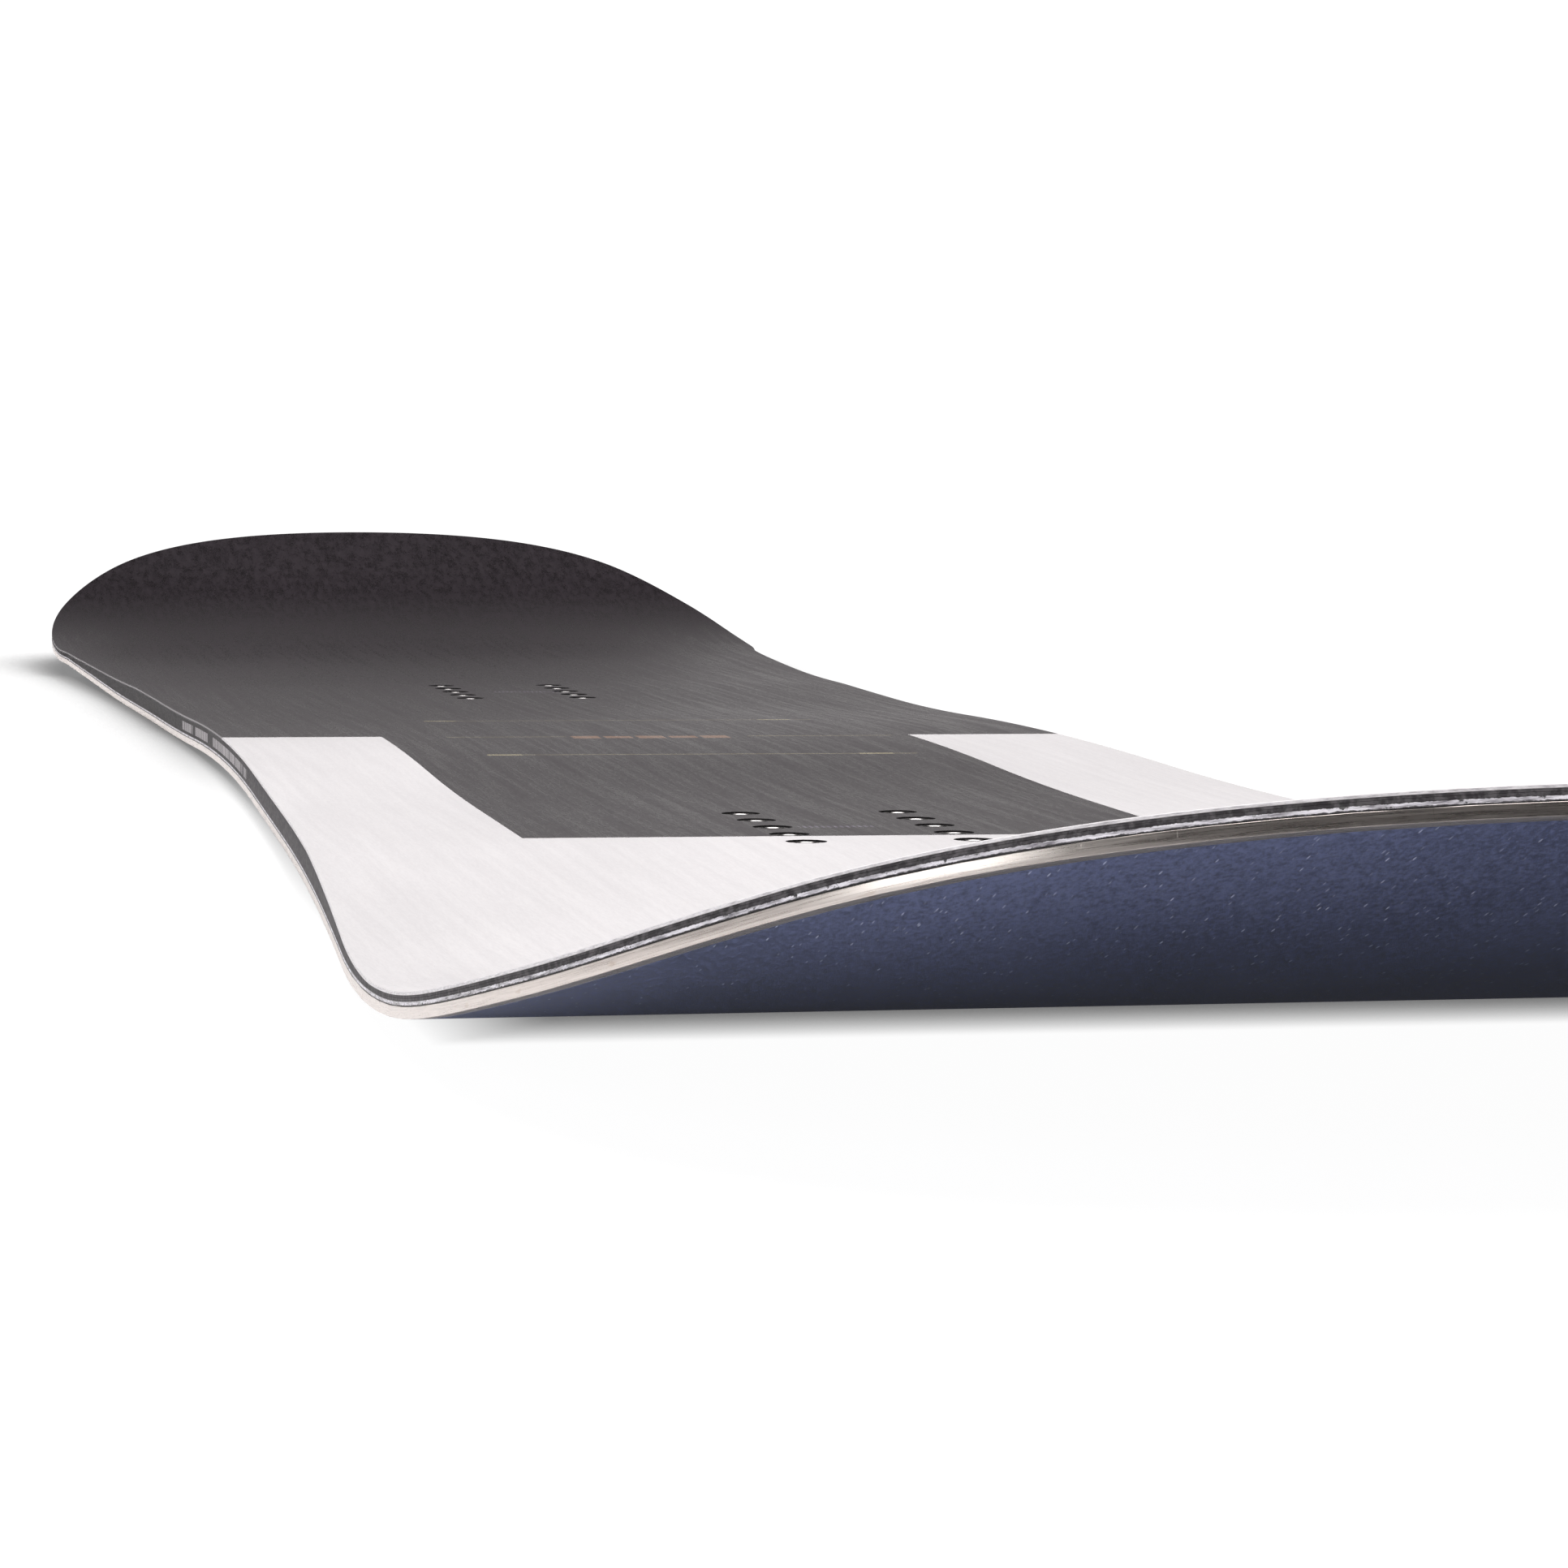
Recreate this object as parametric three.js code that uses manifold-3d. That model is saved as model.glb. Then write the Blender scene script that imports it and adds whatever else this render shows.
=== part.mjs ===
// A bare snowboard: a wood-core sandwich with steel edges and twenty threaded inserts.
// Millimetres: +X across the board, +Y from nose to tail, +Z up, resting on Z = 0.
// Each layer is drawn flat as (across, along) and then laid on the bent side profile.
import * as THREE from 'three';
import { mergeVertices } from 'three/addons/utils/BufferGeometryUtils.js';
import Module from 'manifold-3d';

const wasm = await Module();
wasm.setup();

// Outline in the flat. Lengths are counted from midway between the insert packs, nose negative.
const WAIST_HALF = 127;
const WAIST_AT = 47.8;
const SIDECUT = 6.44e-5; // half-width gained per square millimetre of distance from the waist
// A tip leaves the sidecut at `joins`, is widest at `widest` and ends at `end`. The handles of its
// two curves are the blend into the widest place, the shoulder after it and the blunt nose.
const NOSE = {
  way: -1,
  joins: -500,
  widest: -638,
  end: -826.6,
  half: 151.3,
  entry: 40,
  blend: 49.2,
  shoulder: 108.2,
  blunt: 121.7,
};
const TAIL = {
  way: 1,
  joins: 560,
  widest: 615,
  end: 791.2,
  half: 147.8,
  entry: 15,
  blend: 40.9,
  shoulder: 120,
  blunt: 112.6,
};
const SHOULDER_STEPS = 13;
const ENTRY_STEPS = 3;
const LAST_SHARE = 0.985; // the tip's curve stops this far along, at a short flat end
const LONGEST_STEP = 80;

// Side profile: slope of the base in degrees at each station, with an arc between two stations.
const BENDS = [
  [-780, -20.9], [-720, -12.1], [-660, -8.1], [-600, -4], [-540, -1.4], [-400, 0],
  [-230, 0], [-115, 1.36], [115, -1.36], [230, 0],
  [330, 0], [440, 1.4], [540, 1.7], [620, 4.7], [700, 12.4], [745, 21.7],
];

// Thickness: full over the insert packs, thinning to the tips.
const FULL_THICKNESS = 8.6;
const TIP_THICKNESS = 4.4;
const TAPER = { nose: [-335, -580], tail: [335, 600] };

// Layers, from the base up.
const GLUE_LINE = 0.05;
const SIDE_GAP = 0.1;
const BASE_THICKNESS = 1.25;
const EDGE_HEIGHT = 1.95;
const EDGE_WIDTH = 2.2;
const FLANGE_REACH = 9;
const FLANGE_DROP = 0.1; // how far the flange's top lies below the bar's
const OVERLAP = 0.15; // how far two volumes of one piece run into each other
const CUT_PAST = 0.4; // how far a cutting volume runs past the faces it cuts
const FOIL_THICKNESS = 0.15;
const FOIL_REACH = 12;
const BOTTOM_GLASS = 0.65;
const TOP_GLASS = 0.4;
const TOPSHEET_THICKNESS = 0.55;
const SIDEWALL_WIDTH = 8;
const FOIL_BOTTOM = EDGE_HEIGHT + GLUE_LINE;
const GLASS_OVER_EDGE = FOIL_BOTTOM + FOIL_THICKNESS + GLUE_LINE;
const GLASS_OVER_BASE = BASE_THICKNESS + GLUE_LINE;
const CORE_OVER_EDGE = GLASS_OVER_EDGE + BOTTOM_GLASS + GLUE_LINE;
const CORE_OVER_BASE = GLASS_OVER_BASE + BOTTOM_GLASS + GLUE_LINE;
const GLASS_STEP = FOIL_REACH + 0.5; // where the glass steps down from the foil to the base
const CORE_STEP = GLASS_STEP + BOTTOM_GLASS + 2 * SIDE_GAP;

// Wood core: nine strips between the two tip spacers.
const CORE_ENDS = [-640, 650];
const STRIP_SEAMS = [8, 32, 56, 80];

// Threaded inserts: two packs of two columns.
const STANCE = 579.2;
const INSERT_PITCH = 20;
const INSERTS_PER_COLUMN = 5;
const INSERT_COLUMN = 20; // from the centre line
const BARREL_RADIUS = 4.6;
const THREAD_RADIUS = 2.65; // mean radius of an M6 thread
const FLANGE_RADIUS = 9;
const FLANGE_THICKNESS = 1.2;
const BARREL_BELOW_TOP = 0.35;
const THREAD_FLOOR = 0.8;
const HOLE_CLEARANCE = 0.25;
const ROUND_SIDES = 12;

const CUT_BOX = { across: 400, along: 2000, up: 400 }; // larger than any piece it cuts

const radians = THREE.MathUtils.degToRad;

// ---- outline ----

function sidecut(s) {
  return WAIST_HALF + SIDECUT * (s - WAIST_AT) ** 2;
}

// A tip's half outline from its end to the sidecut, as (half-width, along).
function tipOutline(tip) {
  const { way, joins, widest, end, half } = tip;
  const flare = 2 * SIDECUT * Math.abs(joins - WAIST_AT);
  const at = (x, s) => new THREE.Vector2(x, s);
  const round = new THREE.CubicBezierCurve(
    at(half, widest),
    at(half, widest + way * tip.shoulder),
    at(tip.blunt, end),
    at(0, end),
  );
  const flank = new THREE.CubicBezierCurve(
    at(half, widest),
    at(half, widest - way * tip.blend),
    at(sidecut(joins) + flare * tip.entry, joins + way * tip.entry),
    at(sidecut(joins), joins),
  );
  const points = [];
  for (let i = SHOULDER_STEPS; i > 0; i--) {
    points.push(round.getPoint((LAST_SHARE * i) / SHOULDER_STEPS));
  }
  for (let i = 0; i <= ENTRY_STEPS; i++) points.push(flank.getPoint(i / ENTRY_STEPS));
  return points;
}

// Stations between the two tips: the ends of the side profile's arcs, and steps between them.
function runningStations() {
  const marks = BENDS.map(([s]) => s).filter((s) => s > NOSE.joins && s < TAIL.joins);
  const ends = [NOSE.joins, ...marks, TAIL.joins];
  const stations = [];
  for (let i = 1; i < ends.length; i++) {
    const length = ends[i] - ends[i - 1];
    const steps = Math.ceil(length / LONGEST_STEP);
    for (let k = 1; k <= steps; k++) stations.push(ends[i - 1] + (length * k) / steps);
  }
  return stations.slice(0, -1);
}

// Half outline from the nose's end to the tail's end, as (half-width, along).
const OUTLINE = [
  ...tipOutline(NOSE),
  ...runningStations().map((s) => new THREE.Vector2(sidecut(s), s)),
  ...tipOutline(TAIL).reverse(),
];

// The outline moved inwards by the same distance all round.
function insetOutline(distance) {
  return OUTLINE.map((point, i) => {
    const before = OUTLINE[i - 1] ?? new THREE.Vector2(-point.x, point.y);
    const after = OUTLINE[i + 1] ?? new THREE.Vector2(-point.x, point.y);
    const run = after.clone().sub(before).normalize();
    return new THREE.Vector2(point.x - run.y * distance, point.y + run.x * distance);
  });
}

// ---- side profile ----

function slopeAt(s) {
  if (s <= BENDS[0][0]) return radians(BENDS[0][1]);
  const i = BENDS.findIndex(([station]) => station >= s);
  if (i < 0) return radians(BENDS.at(-1)[1]);
  const [s0, a0] = BENDS[i - 1];
  const [s1, a1] = BENDS[i];
  return radians(a0 + ((a1 - a0) * (s - s0)) / (s1 - s0));
}

// Moves a point of the base line on by one arc that begins and ends at the given slopes.
function alongArc([y, z], length, from, to) {
  const mean = (from + to) / 2;
  const half = (to - from) / 2;
  const chord = half === 0 ? length : (length * Math.sin(half)) / half;
  return [y + chord * Math.cos(mean), z + chord * Math.sin(mean)];
}

// The base line's place at s, walked arc by arc from the first pack's level stretch.
const LEVEL_STATION = -230;
function baseLine(s) {
  const way = Math.sign(s - LEVEL_STATION);
  const joints = BENDS.map(([station]) => station)
    .filter((station) => way * (station - LEVEL_STATION) > 0 && way * (s - station) > 0)
    .sort((a, b) => way * (a - b));
  let place = [LEVEL_STATION, 0];
  let here = LEVEL_STATION;
  for (const next of [...joints, s]) {
    place = alongArc(place, next - here, slopeAt(here), slopeAt(next));
    here = next;
  }
  return place;
}

const ENDS = [baseLine(OUTLINE[0].y)[0], baseLine(OUTLINE.at(-1).y)[0]];
const MID_LENGTH = (ENDS[0] + ENDS[1]) / 2;

// A flat place (across x, along s, height t above the base) laid on the profile.
function onBoard(x, s, t) {
  const [y, z] = baseLine(s);
  const slope = slopeAt(s);
  return [x, y - MID_LENGTH - t * Math.sin(slope), z + t * Math.cos(slope)];
}

function thickness(s) {
  const [start, end] = s < 0 ? TAPER.nose : TAPER.tail;
  const share = THREE.MathUtils.clamp((s - start) / (end - start), 0, 1);
  return THREE.MathUtils.lerp(FULL_THICKNESS, TIP_THICKNESS, share);
}

// Every layer has its sections at these same stations, so that the layers' facets lie parallel.
const BENT_TIPS = BENDS.map(([s]) => s).filter((s) => s < NOSE.joins || s > TAIL.joins);
const MARKS = [...BENT_TIPS, ...TAPER.nose, ...TAPER.tail, ...CORE_ENDS];
const STATIONS = [...OUTLINE.map((point) => point.y), ...MARKS].sort((a, b) => a - b);

// ---- solids ----

function solidOf(geometry) {
  const plain = geometry.clone();
  plain.deleteAttribute('normal');
  plain.deleteAttribute('uv');
  const merged = mergeVertices(plain, 1e-4);
  return new wasm.Manifold(
    new wasm.Mesh({
      numProp: 3,
      vertProperties: new Float32Array(merged.attributes.position.array),
      triVerts: new Uint32Array(merged.index.array),
    }),
  );
}

function geometryOf(solid) {
  const mesh = solid.getMesh();
  const geometry = new THREE.BufferGeometry();
  geometry.setAttribute('position', new THREE.BufferAttribute(mesh.vertProperties, 3));
  geometry.setIndex(new THREE.BufferAttribute(mesh.triVerts, 1));
  geometry.computeVertexNormals();
  return geometry;
}

// A closed solid along the board. section(s) gives its corners as [across, height], in the same
// number and order at every station, turning from +X to +Z.
function layer(section, from, to) {
  const inside = STATIONS.filter((s) => s > from + 1e-3 && s < to - 1e-3);
  const stations = [from, ...inside, to];
  const corners = stations.flatMap((s) => section(s).flatMap(([x, t]) => onBoard(x, s, t)));
  const face = section(from).map(([x, t]) => new THREE.Vector2(x, t));
  const sides = face.length;
  const cap = THREE.ShapeUtils.triangulateShape(face, []);
  const last = sides * (stations.length - 1);
  const index = cap.flat();
  for (let row = 0; row < last; row += sides) {
    for (let side = 0; side < sides; side++) {
      const a = row + side;
      const b = row + ((side + 1) % sides);
      index.push(a, a + sides, b + sides, a, b + sides, b);
    }
  }
  for (const [a, b, c] of cap) index.push(last + a, last + c, last + b);
  const geometry = new THREE.BufferGeometry();
  geometry.setAttribute('position', new THREE.Float32BufferAttribute(corners, 3));
  geometry.setIndex(index);
  return solidOf(geometry);
}

const fixed = (value) => () => value;

// A four-cornered section between x = left(s) and right(s), and between the heights low(s) and high(s).
function slab(left, right, low, high) {
  return (s) => [
    [left(s), low(s)],
    [right(s), low(s)],
    [right(s), high(s)],
    [left(s), high(s)],
  ];
}

// A section drawn for the right-hand side, turned over for the left.
function onSide(side, section) {
  if (side > 0) return section;
  return (s) => section(s).map(([x, t]) => [-x, t]).reverse();
}

function halfWidthOf(outline) {
  return (s) => {
    const i = outline.findIndex((point) => point.y >= s);
    if (i <= 0) return i < 0 ? outline.at(-1).x : outline[0].x;
    const share = (s - outline[i - 1].y) / (outline[i].y - outline[i - 1].y);
    return THREE.MathUtils.lerp(outline[i - 1].x, outline[i].x, share);
  };
}

// A layer with the board's whole outline, set in by the given distance.
function sheet(inset, low, high) {
  const outline = insetOutline(inset);
  const half = halfWidthOf(outline);
  const left = (s) => -half(s);
  return layer(slab(left, half, low, high), outline[0].y, outline.at(-1).y);
}

// A sheet's rim only, between two level heights: what lies within the given reach of its outline.
function rim(inset, reach, low, high) {
  const core = sheet(reach, fixed(low - CUT_PAST), fixed(high + CUT_PAST));
  return sheet(inset, fixed(low), fixed(high)).subtract(core);
}

function sideOf(solid, side) {
  const box = new THREE.BoxGeometry(CUT_BOX.across, CUT_BOX.along, CUT_BOX.up);
  box.translate(side * (CUT_BOX.across / 2 + SIDE_GAP), 0, 0);
  return solid.intersect(solidOf(box));
}

// ---- inserts ----

function insertPlaces() {
  const places = [];
  for (const [pack, sign] of [['nose', -1], ['tail', 1]]) {
    for (const [column, x] of [['left', -INSERT_COLUMN], ['right', INSERT_COLUMN]]) {
      for (let row = 0; row < INSERTS_PER_COLUMN; row++) {
        const s = (sign * STANCE) / 2 + (row - (INSERTS_PER_COLUMN - 1) / 2) * INSERT_PITCH;
        places.push({ name: `insert_${pack}_${column}_${row + 1}`, x, s });
      }
    }
  }
  return places;
}

const INSERTS = insertPlaces();
const BARREL_TOP = FULL_THICKNESS - BARREL_BELOW_TOP;
const FLANGE_TOP = CORE_OVER_BASE + FLANGE_THICKNESS;

function turned(profile) {
  const points = profile.map(([r, z]) => new THREE.Vector2(r, z));
  const geometry = new THREE.LatheGeometry(points, ROUND_SIDES);
  geometry.rotateX(Math.PI / 2);
  return geometry;
}

function insertGeometry() {
  const bottom = CORE_OVER_BASE;
  return turned([
    [0, bottom],
    [FLANGE_RADIUS, bottom],
    [FLANGE_RADIUS, FLANGE_TOP],
    [BARREL_RADIUS, FLANGE_TOP],
    [BARREL_RADIUS, BARREL_TOP],
    [THREAD_RADIUS, BARREL_TOP],
    [THREAD_RADIUS, bottom + THREAD_FLOOR],
    [0, bottom + THREAD_FLOOR],
  ]);
}

function drill(radius, low, high) {
  return turned([
    [0, low],
    [radius, low],
    [radius, high],
    [0, high],
  ]);
}

function drilled(solid, left, right, holes) {
  let result = solid;
  for (const { x, s } of INSERTS) {
    if (x < left || x > right) continue;
    const [, y] = onBoard(x, s, 0);
    for (const hole of holes) {
      const tool = hole.clone().translate(x, y, 0);
      result = result.subtract(solidOf(tool));
    }
  }
  return result;
}

const DRILL_TOP = FULL_THICKNESS + CUT_PAST;
const BARREL_HOLE = drill(BARREL_RADIUS + HOLE_CLEARANCE, 0, DRILL_TOP);
const FLANGE_HOLE = drill(FLANGE_RADIUS + HOLE_CLEARANCE, 0, FLANGE_TOP + GLUE_LINE);

// ---- pieces ----

const topsheetLow = (s) => thickness(s) - TOPSHEET_THICKNESS;
const topGlassHigh = (s) => topsheetLow(s) - GLUE_LINE;
const topGlassLow = (s) => topGlassHigh(s) - TOP_GLASS;
const coreHigh = (s) => topGlassLow(s) - GLUE_LINE;

function topsheet() {
  return drilled(sheet(0, topsheetLow, thickness), -Infinity, Infinity, [BARREL_HOLE]);
}

function topLaminate() {
  return drilled(sheet(0, topGlassLow, topGlassHigh), -Infinity, Infinity, [BARREL_HOLE]);
}

// The glass runs level over the edges' flanges and steps down to the base inside them.
function bottomLaminate() {
  const over = fixed(CORE_OVER_EDGE - GLUE_LINE);
  const ledge = sheet(0, fixed(GLASS_OVER_EDGE), over);
  const tray = sheet(GLASS_STEP, fixed(GLASS_OVER_BASE), fixed(GLASS_OVER_EDGE + OVERLAP));
  const floor = fixed(CORE_OVER_BASE - GLUE_LINE);
  const room = sheet(GLASS_STEP + BOTTOM_GLASS, floor, fixed(CORE_OVER_EDGE + CUT_PAST));
  return ledge.add(tray).subtract(room);
}

function base() {
  return sheet(EDGE_WIDTH + SIDE_GAP, fixed(0), fixed(BASE_THICKNESS));
}

// A steel edge: the outer bar that is seen, and a flange that lies on the base.
function steelEdge(side) {
  const bar = rim(0, EDGE_WIDTH, 0, EDGE_HEIGHT);
  const flangeTop = EDGE_HEIGHT - FLANGE_DROP;
  const flange = rim(EDGE_WIDTH - OVERLAP, FLANGE_REACH, GLASS_OVER_BASE, flangeTop);
  return sideOf(bar.add(flange), side);
}

function rubberFoil(side) {
  return sideOf(rim(0, FOIL_REACH, FOIL_BOTTOM, FOIL_BOTTOM + FOIL_THICKNESS), side);
}

const coreHalf = halfWidthOf(insetOutline(SIDEWALL_WIDTH + SIDE_GAP));
const coreStepHalf = halfWidthOf(insetOutline(CORE_STEP));

function sidewall(side) {
  const inner = halfWidthOf(insetOutline(SIDEWALL_WIDTH));
  const outer = halfWidthOf(OUTLINE);
  const section = slab(inner, outer, fixed(CORE_OVER_EDGE), coreHigh);
  return layer(onSide(side, section), ...CORE_ENDS);
}

const STRIP_ENDS = [CORE_ENDS[0] + SIDE_GAP, CORE_ENDS[1] - SIDE_GAP];

function centreStrip() {
  const half = STRIP_SEAMS[0] - SIDE_GAP / 2;
  return layer(slab(fixed(-half), fixed(half), fixed(CORE_OVER_BASE), coreHigh), ...STRIP_ENDS);
}

function coreStrip(side, near, far) {
  const inner = fixed(near + SIDE_GAP / 2);
  const outer = fixed(far - SIDE_GAP / 2);
  const section = slab(inner, outer, fixed(CORE_OVER_BASE), coreHigh);
  return layer(onSide(side, section), ...STRIP_ENDS);
}

// The outermost strip follows the sidewall, and steps up over the edge's flange.
function outerStrip(side, near) {
  const inner = near + SIDE_GAP / 2;
  const section = (s) => [
    [inner, CORE_OVER_BASE],
    [coreStepHalf(s), CORE_OVER_BASE],
    [coreStepHalf(s), CORE_OVER_EDGE],
    [coreHalf(s), CORE_OVER_EDGE],
    [coreHalf(s), coreHigh(s)],
    [inner, coreHigh(s)],
  ];
  return layer(onSide(side, section), ...STRIP_ENDS);
}

// The solid plastic that carries the sidewall's line round a tip, where the wood stops.
function tipSpacer(tip) {
  const start = tip.way < 0 ? CORE_ENDS[0] : CORE_ENDS[1];
  const brim = sheet(0, fixed(CORE_OVER_EDGE), coreHigh);
  const body = sheet(CORE_STEP, fixed(CORE_OVER_BASE), fixed(CORE_OVER_EDGE + OVERLAP));
  const [, y] = onBoard(0, start + tip.way * SIDE_GAP, 0);
  const room = new THREE.BoxGeometry(CUT_BOX.across, CUT_BOX.along, CUT_BOX.up);
  room.translate(0, y + tip.way * (CUT_BOX.along / 2 + SIDE_GAP), 0);
  return brim.add(body).intersect(solidOf(room));
}

// ---- assembly ----

const board = new THREE.Group();

function paint(color, roughness, metalness) {
  return new THREE.MeshStandardMaterial({ color, roughness, metalness });
}

function place(name, geometry, material) {
  const mesh = new THREE.Mesh(geometry, material);
  mesh.name = name;
  board.add(mesh);
  return mesh;
}

const abs = paint('#2b2a2d', 0.5, 0);
const steel = paint('#b9b4ab', 0.35, 1);
const foil = paint('#161616', 0.8, 0);
const glass = paint('#c9cbd3', 0.4, 0);

place('base', geometryOf(base()), paint('#49506b', 0.45, 0));
place('bottom_laminate', geometryOf(bottomLaminate()), glass);
place('top_laminate', geometryOf(topLaminate()), paint('#26262a', 0.5, 0));
place('topsheet', geometryOf(topsheet()), paint('#dcdae0', 0.45, 0));
for (const [name, side] of [['left', -1], ['right', 1]]) {
  place(`steel_edge_${name}`, geometryOf(steelEdge(side)), steel);
  place(`rubber_foil_${name}`, geometryOf(rubberFoil(side)), foil);
  place(`sidewall_${name}`, geometryOf(sidewall(side)), abs);
}
place('tip_spacer_nose', geometryOf(tipSpacer(NOSE)), abs);
place('tip_spacer_tail', geometryOf(tipSpacer(TAIL)), abs);

place('core_strip_centre', geometryOf(centreStrip()), paint('#d8bd8b', 0.7, 0));
for (const [name, side] of [['left', -1], ['right', 1]]) {
  STRIP_SEAMS.forEach((near, i) => {
    const far = STRIP_SEAMS[i + 1] ?? Infinity;
    const strip = far === Infinity ? outerStrip(side, near) : coreStrip(side, near, far);
    const [left, right] = side < 0 ? [-far, -near] : [near, far];
    const wood = paint(i % 2 ? '#d8bd8b' : '#c7a26d', 0.7, 0);
    const holes = [BARREL_HOLE, FLANGE_HOLE];
    place(`core_strip_${name}_${i + 1}`, geometryOf(drilled(strip, left, right, holes)), wood);
  });
}

const stainless = paint('#a9a8a6', 0.3, 1);
for (const { name, x, s } of INSERTS) {
  const insert = place(name, insertGeometry(), stainless);
  const [, y] = onBoard(x, s, 0);
  insert.position.set(x, y, 0);
}

export default board;
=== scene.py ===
import math
import bpy
from mathutils import Euler, Matrix, Vector


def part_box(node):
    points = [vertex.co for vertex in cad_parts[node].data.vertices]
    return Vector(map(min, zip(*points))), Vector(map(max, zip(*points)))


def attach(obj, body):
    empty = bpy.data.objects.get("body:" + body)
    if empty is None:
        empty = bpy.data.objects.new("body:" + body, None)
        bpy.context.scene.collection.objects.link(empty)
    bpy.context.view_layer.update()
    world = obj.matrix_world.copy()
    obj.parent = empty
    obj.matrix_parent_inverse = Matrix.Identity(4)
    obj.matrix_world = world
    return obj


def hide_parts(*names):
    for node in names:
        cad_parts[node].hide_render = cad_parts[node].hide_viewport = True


# A bare snowboard, seen low from in front of its nose. Metres, +Y from nose to tail, +Z up.
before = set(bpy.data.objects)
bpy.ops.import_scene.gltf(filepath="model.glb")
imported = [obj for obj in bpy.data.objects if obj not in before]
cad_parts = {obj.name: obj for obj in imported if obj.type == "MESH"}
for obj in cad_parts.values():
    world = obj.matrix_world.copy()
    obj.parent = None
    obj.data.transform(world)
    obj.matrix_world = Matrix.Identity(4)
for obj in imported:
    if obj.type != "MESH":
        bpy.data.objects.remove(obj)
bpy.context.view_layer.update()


# ---- camera ----

view = {"spot": (-0.24288, -1.37777, 0.10426), "lens": 108.24, "farthest": 60,
        "turn": 11.535, "down": 4.326, "roll": 0.357}


def makeCamera():
    data = bpy.data.cameras.new("camera")
    data.lens = view["lens"]
    data.clip_end = view["farthest"]
    camera = bpy.data.objects.new("camera", data)
    aim = Euler((math.radians(90 - view["down"]), 0, math.radians(-view["turn"]))).to_matrix()
    aim = aim @ Matrix.Rotation(math.radians(view["roll"]), 3, "Z")
    camera.matrix_world = Matrix.Translation(view["spot"]) @ aim.to_4x4()
    bpy.context.scene.collection.objects.link(camera)
    bpy.context.scene.camera = camera


makeCamera()
print("camera ready")


# ---- the board's outline and side profile ----
# s runs along the flattened board from midway between the insert packs, t up from the base's face.

outline = {"waistHalf": 0.127, "waistAt": 0.0478, "sidecut": 0.0644, "runSteps": 64}
nose = {"way": -1, "joins": -0.5, "widest": -0.638, "end": -0.8266, "half": 0.1513,
        "entry": 0.04, "blend": 0.0492, "shoulder": 0.1082, "blunt": 0.1217}
tail = {"way": 1, "joins": 0.56, "widest": 0.615, "end": 0.7912, "half": 0.1478,
        "entry": 0.015, "blend": 0.0409, "shoulder": 0.12, "blunt": 0.1126}
tipSteps = {"round": 60, "flank": 16}

# slope of the base in degrees at each place along it, turning evenly in between
profile = [(-0.78, -20.9), (-0.72, -12.1), (-0.66, -8.1), (-0.6, -4), (-0.54, -1.4), (-0.4, 0),
           (-0.23, 0), (-0.115, 1.36), (0.115, -1.36), (0.23, 0),
           (0.33, 0), (0.44, 1.4), (0.54, 1.7), (0.62, 4.7), (0.7, 12.4), (0.745, 21.7)]
levelAt = -0.23

# heights of the layers above the base's face
layers = {"full": 0.0086, "tip": 0.0044, "noseTaper": (-0.335, -0.58), "tailTaper": (0.335, 0.6),
          "base": 0.00125, "steel": 0.00199, "foilLow": 0.002, "foilHigh": 0.0021,
          "glassLow": 0.00212, "glassHigh": 0.00285, "coreOverEdge": 0.0029,
          "trayLow": 0.0013, "trayHigh": 0.00195, "coreOverBase": 0.002,
          "topsheet": 0.00055, "topGlass": 0.0004, "glue": 0.00005}


def sidecut(s):
    return outline["waistHalf"] + outline["sidecut"] * (s - outline["waistAt"]) ** 2


def curve(points, share):
    # a four-point curve, as (half width, place along)
    weights = [(1 - share) ** 3, 3 * (1 - share) ** 2 * share, 3 * (1 - share) * share ** 2, share ** 3]
    return tuple(sum(w * p[k] for w, p in zip(weights, points)) for k in (0, 1))


def tipOutline(tip):
    way, widest, half = tip["way"], tip["widest"], tip["half"]
    flare = 2 * outline["sidecut"] * abs(tip["joins"] - outline["waistAt"])
    roundPart = [(half, widest), (half, widest + way * tip["shoulder"]),
                 (tip["blunt"], tip["end"]), (0, tip["end"])]
    flank = [(half, widest), (half, widest - way * tip["blend"]),
             (sidecut(tip["joins"]) + flare * tip["entry"], tip["joins"] + way * tip["entry"]),
             (sidecut(tip["joins"]), tip["joins"])]
    points = [curve(roundPart, i / tipSteps["round"]) for i in range(tipSteps["round"], 0, -1)]
    return points + [curve(flank, i / tipSteps["flank"]) for i in range(tipSteps["flank"] + 1)]


def wholeOutline():
    steps = outline["runSteps"]
    run = [nose["joins"] + (tail["joins"] - nose["joins"]) * k / steps for k in range(1, steps)]
    return tipOutline(nose) + [(sidecut(s), s) for s in run] + tipOutline(tail)[::-1]


rows = wholeOutline()


def inward(i):
    # unit direction at a row of the right-hand outline, straight in from the rim
    before = rows[i - 1] if i > 0 else (-rows[1][0], rows[1][1])
    after = rows[i + 1] if i < len(rows) - 1 else (-rows[-2][0], rows[-2][1])
    run = Vector((after[0] - before[0], after[1] - before[1])).normalized()
    return -run.y, run.x


insides = [inward(i) for i in range(len(rows))]
rimLength = [0.0]
for i in range(1, len(rows)):
    rimLength.append(rimLength[-1] + math.dist(rows[i], rows[i - 1]))


def slopeAt(s):
    if s <= profile[0][0]:
        return math.radians(profile[0][1])
    for (s0, a0), (s1, a1) in zip(profile, profile[1:]):
        if s <= s1:
            return math.radians(a0 + (a1 - a0) * (s - s0) / (s1 - s0))
    return math.radians(profile[-1][1])


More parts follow.
